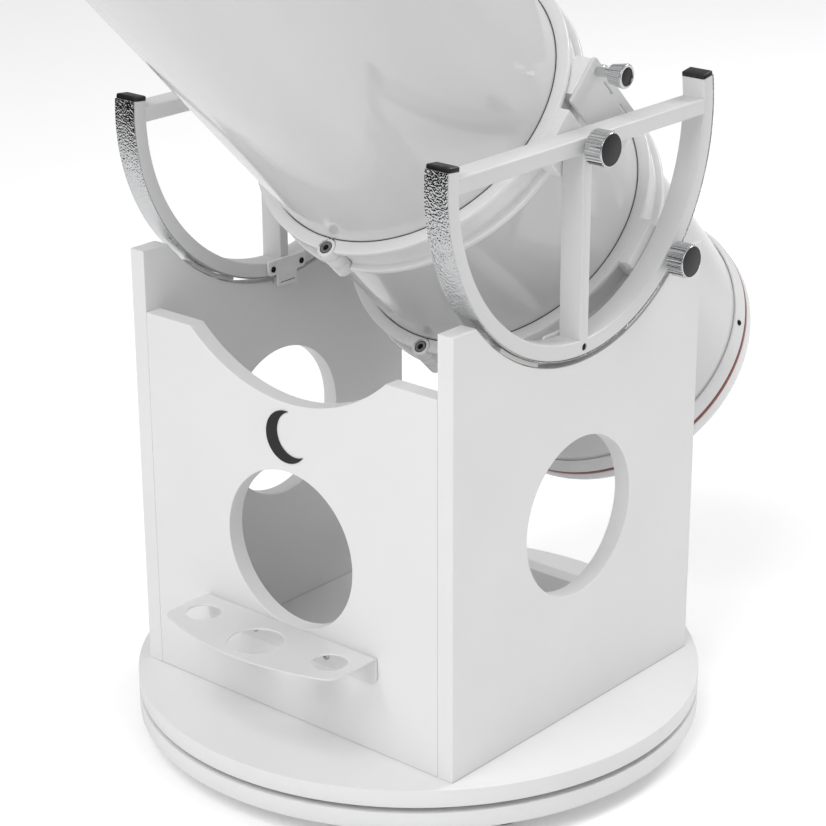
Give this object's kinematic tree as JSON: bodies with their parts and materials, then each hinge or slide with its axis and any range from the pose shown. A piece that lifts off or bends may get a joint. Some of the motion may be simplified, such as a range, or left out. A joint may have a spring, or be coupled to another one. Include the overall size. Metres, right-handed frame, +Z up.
{
  "type": "dobsonian telescope",
  "caption": "Newtonian reflector tube clamped between two half-ring altitude frames that turn in a round-based rocker box with an eyepiece tray.",
  "frame": {"origin": "on the floor plane, under the azimuth axis at the middle of the round base", "axes": "+X along the altitude axis towards the side with the rail, -Y towards the front board and the raised open end of the tube, +Z up"},
  "size_m": [0.573, 1.0681, 1.304],
  "materials": {
    "white_laminate": "satin",
    "white_enamel": "gloss",
    "white_casting": "gloss",
    "chrome": "polished",
    "zinc_steel": "satin",
    "black_plastic": "satin",
    "rubber": "matte",
    "white_nylon": "satin",
    "mirror_glass": "polished",
    "anodised_alloy": "satin",
    "red_stripe": "gloss"
  },
  "bodies": {
    "ground": {"ground_board": "white_laminate", "foot_left": "rubber", "foot_right": "rubber", "foot_rear": "rubber", "azimuth_bearing": "white_nylon", "pivot_bolt": "zinc_steel"},
    "rocker": {"turntable_board": "white_laminate", "left_side_board": "white_laminate", "right_side_board": "white_laminate", "front_board": "white_laminate", "rear_stretcher": "white_laminate", "altitude_pad_left_front": "white_nylon", "altitude_pad_left_rear": "white_nylon", "altitude_pad_right_front": "white_nylon", "altitude_pad_right_rear": "white_nylon", "eyepiece_tray": "white_enamel", "front_emblem": "black_plastic"},
    "cradle": {"left_frame": "white_enamel", "right_frame": "white_enamel", "left_bearing_band": "chrome", "right_bearing_band": "chrome", "end_cap_left_front": "black_plastic", "end_cap_left_rear": "black_plastic", "end_cap_right_front": "black_plastic", "end_cap_right_rear": "black_plastic", "left_guide_plate": "white_enamel", "right_guide_plate": "white_enamel", "upper_ring_left": "white_casting", "upper_ring_right": "white_casting", "lower_ring_left": "white_casting", "lower_ring_right": "white_casting", "side_rail": "white_enamel"},
    "optical_tube": {"tube": "white_enamel", "front_ring": "white_casting", "rear_cell": "white_casting", "pinstripe": "red_stripe", "primary_mirror": "mirror_glass", "mirror_cell": "anodised_alloy", "spider": "black_plastic", "secondary_mirror": "mirror_glass", "focuser_base": "anodised_alloy", "finder_shoe": "black_plastic"},
    "finder": {"finder_bracket": "white_casting", "finder_tube": "white_casting"},
    "pivot_knob": {"pivot_knob": "black_plastic"},
    "frame_knob_left_lower": {"frame_knob_left_lower": "chrome"},
    "frame_knob_left_upper": {"frame_knob_left_upper": "chrome"},
    "frame_knob_right_lower": {"frame_knob_right_lower": "chrome"},
    "frame_knob_right_upper": {"frame_knob_right_upper": "chrome"},
    "clamp_knob_upper": {"clamp_knob_upper": "chrome"},
    "clamp_knob_lower": {"clamp_knob_lower": "chrome"},
    "rail_knob": {"rail_knob": "chrome"},
    "focus_knobs": {"focus_knobs": "black_plastic"},
    "drawtube": {"drawtube": "chrome"},
    "eyepiece": {"eyepiece": "black_plastic"},
    "focus_lock": {"focus_lock": "zinc_steel"},
    "collimation_knob_a": {"collimation_knob_a": "zinc_steel"},
    "collimation_knob_b": {"collimation_knob_b": "zinc_steel"},
    "collimation_knob_c": {"collimation_knob_c": "zinc_steel"}
  },
  "joints": [
    {"name": "azimuth", "type": "hinge", "parent": "ground", "child": "rocker", "pos_m": [0, 0, 0], "axis": [0, 0, 1], "continuous": true},
    {"name": "pivot_knob_turn", "type": "hinge", "parent": "ground", "child": "pivot_knob", "pos_m": [0, 0, 0], "axis": [0, 0, 1], "continuous": true},
    {"name": "altitude", "type": "hinge", "parent": "rocker", "child": "cradle", "pos_m": [0, 0, 0.6288], "axis": [1, 0, 0], "range_deg": [-45, 45]},
    {"name": "tube_roll", "type": "hinge", "parent": "cradle", "child": "optical_tube", "pos_m": [0, 0, 0.6288], "axis": [0, -0.7071, 0.7071], "continuous": true},
    {"name": "frame_knob_right_upper_turn", "type": "hinge", "parent": "cradle", "child": "frame_knob_right_upper", "pos_m": [0.2158, 0, 0.6318], "axis": [1, 0, 0], "continuous": true},
    {"name": "frame_knob_right_lower_turn", "type": "hinge", "parent": "cradle", "child": "frame_knob_right_lower", "pos_m": [0.2158, 0.13294, 0.49586], "axis": [1, 0, 0], "continuous": true},
    {"name": "frame_knob_left_upper_turn", "type": "hinge", "parent": "cradle", "child": "frame_knob_left_upper", "pos_m": [-0.2158, 0, 0.6318], "axis": [1, 0, 0], "continuous": true},
    {"name": "frame_knob_left_lower_turn", "type": "hinge", "parent": "cradle", "child": "frame_knob_left_lower", "pos_m": [-0.2158, 0.13294, 0.49586], "axis": [1, 0, 0], "continuous": true},
    {"name": "clamp_knob_upper_turn", "type": "hinge", "parent": "cradle", "child": "clamp_knob_upper", "pos_m": [0.02, 0.12516, 0.75396], "axis": [1, 0, 0], "continuous": true},
    {"name": "clamp_knob_lower_turn", "type": "hinge", "parent": "cradle", "child": "clamp_knob_lower", "pos_m": [0.02, 0.25809, 0.62102], "axis": [1, 0, 0], "continuous": true},
    {"name": "rail_knob_turn", "type": "hinge", "parent": "cradle", "child": "rail_knob", "pos_m": [0.19, 0.05515, 0.68395], "axis": [1, 0, 0], "continuous": true},
    {"name": "focus_turn", "type": "hinge", "parent": "optical_tube", "child": "focus_knobs", "pos_m": [0.1294, -0.32781, 1.13961], "axis": [-0.7071, 0.5, 0.5], "range_deg": [-115, 287]},
    {"name": "focus_slide", "type": "slide", "parent": "optical_tube", "child": "drawtube", "axis": [0.7071, 0.5, 0.5], "range_m": [-0.012, 0.03]},
    {"name": "eyepiece_slide", "type": "slide", "parent": "drawtube", "child": "eyepiece", "axis": [0.7071, 0.5, 0.5], "range_m": [0, 0.06]},
    {"name": "focus_lock_turn", "type": "hinge", "parent": "optical_tube", "child": "focus_lock", "pos_m": [0.13789, -0.37485, 1.19865], "axis": [0, -0.7071, 0.7071], "continuous": true},
    {"name": "finder_slide", "type": "slide", "parent": "optical_tube", "child": "finder", "axis": [0, -0.7071, 0.7071], "range_m": [0, 0.07]},
    {"name": "collimation_a_turn", "type": "hinge", "parent": "optical_tube", "child": "collimation_knob_a", "pos_m": [0.08487, 0.36416, 0.33394], "axis": [0, -0.7071, 0.7071], "continuous": true},
    {"name": "collimation_b_turn", "type": "hinge", "parent": "optical_tube", "child": "collimation_knob_b", "pos_m": [-0.08487, 0.36416, 0.33394], "axis": [0, -0.7071, 0.7071], "continuous": true},
    {"name": "collimation_c_turn", "type": "hinge", "parent": "optical_tube", "child": "collimation_knob_c", "pos_m": [0, 0.26022, 0.22999], "axis": [0, -0.7071, 0.7071], "continuous": true}
  ],
  "couplings": [
    {"joint": "focus_turn", "follows": "focus_slide", "rad_per_m": 166.67}
  ]
}
